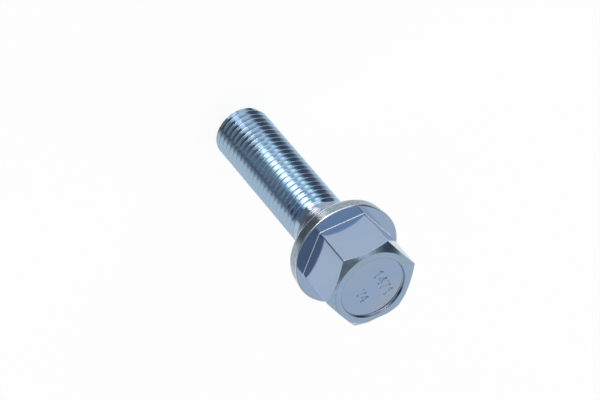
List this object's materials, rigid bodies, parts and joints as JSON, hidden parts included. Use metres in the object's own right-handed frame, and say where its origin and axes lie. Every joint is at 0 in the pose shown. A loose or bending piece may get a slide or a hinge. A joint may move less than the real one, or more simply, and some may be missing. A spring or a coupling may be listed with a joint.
{
  "type": "wheel bolt",
  "caption": "Long steel wheel bolt with a hexagon head, a round collar, a ball seat and a threaded shank, bright zinc plated.",
  "frame": {"origin": "on the bolt's axis, where the ball seat meets the back of the collar", "axes": "+Z along the bolt's axis, out of the end of the head; the bolt stands on its point, and two wrench flats face -Y and +Y"},
  "size_m": [0.0224, 0.0224, 0.0576],
  "materials": {
    "zinc_plated_steel": "bright blue-white zinc plate"
  },
  "bodies": {
    "root": {"wheel_bolt": "zinc_plated_steel"}
  },
  "joints": []
}
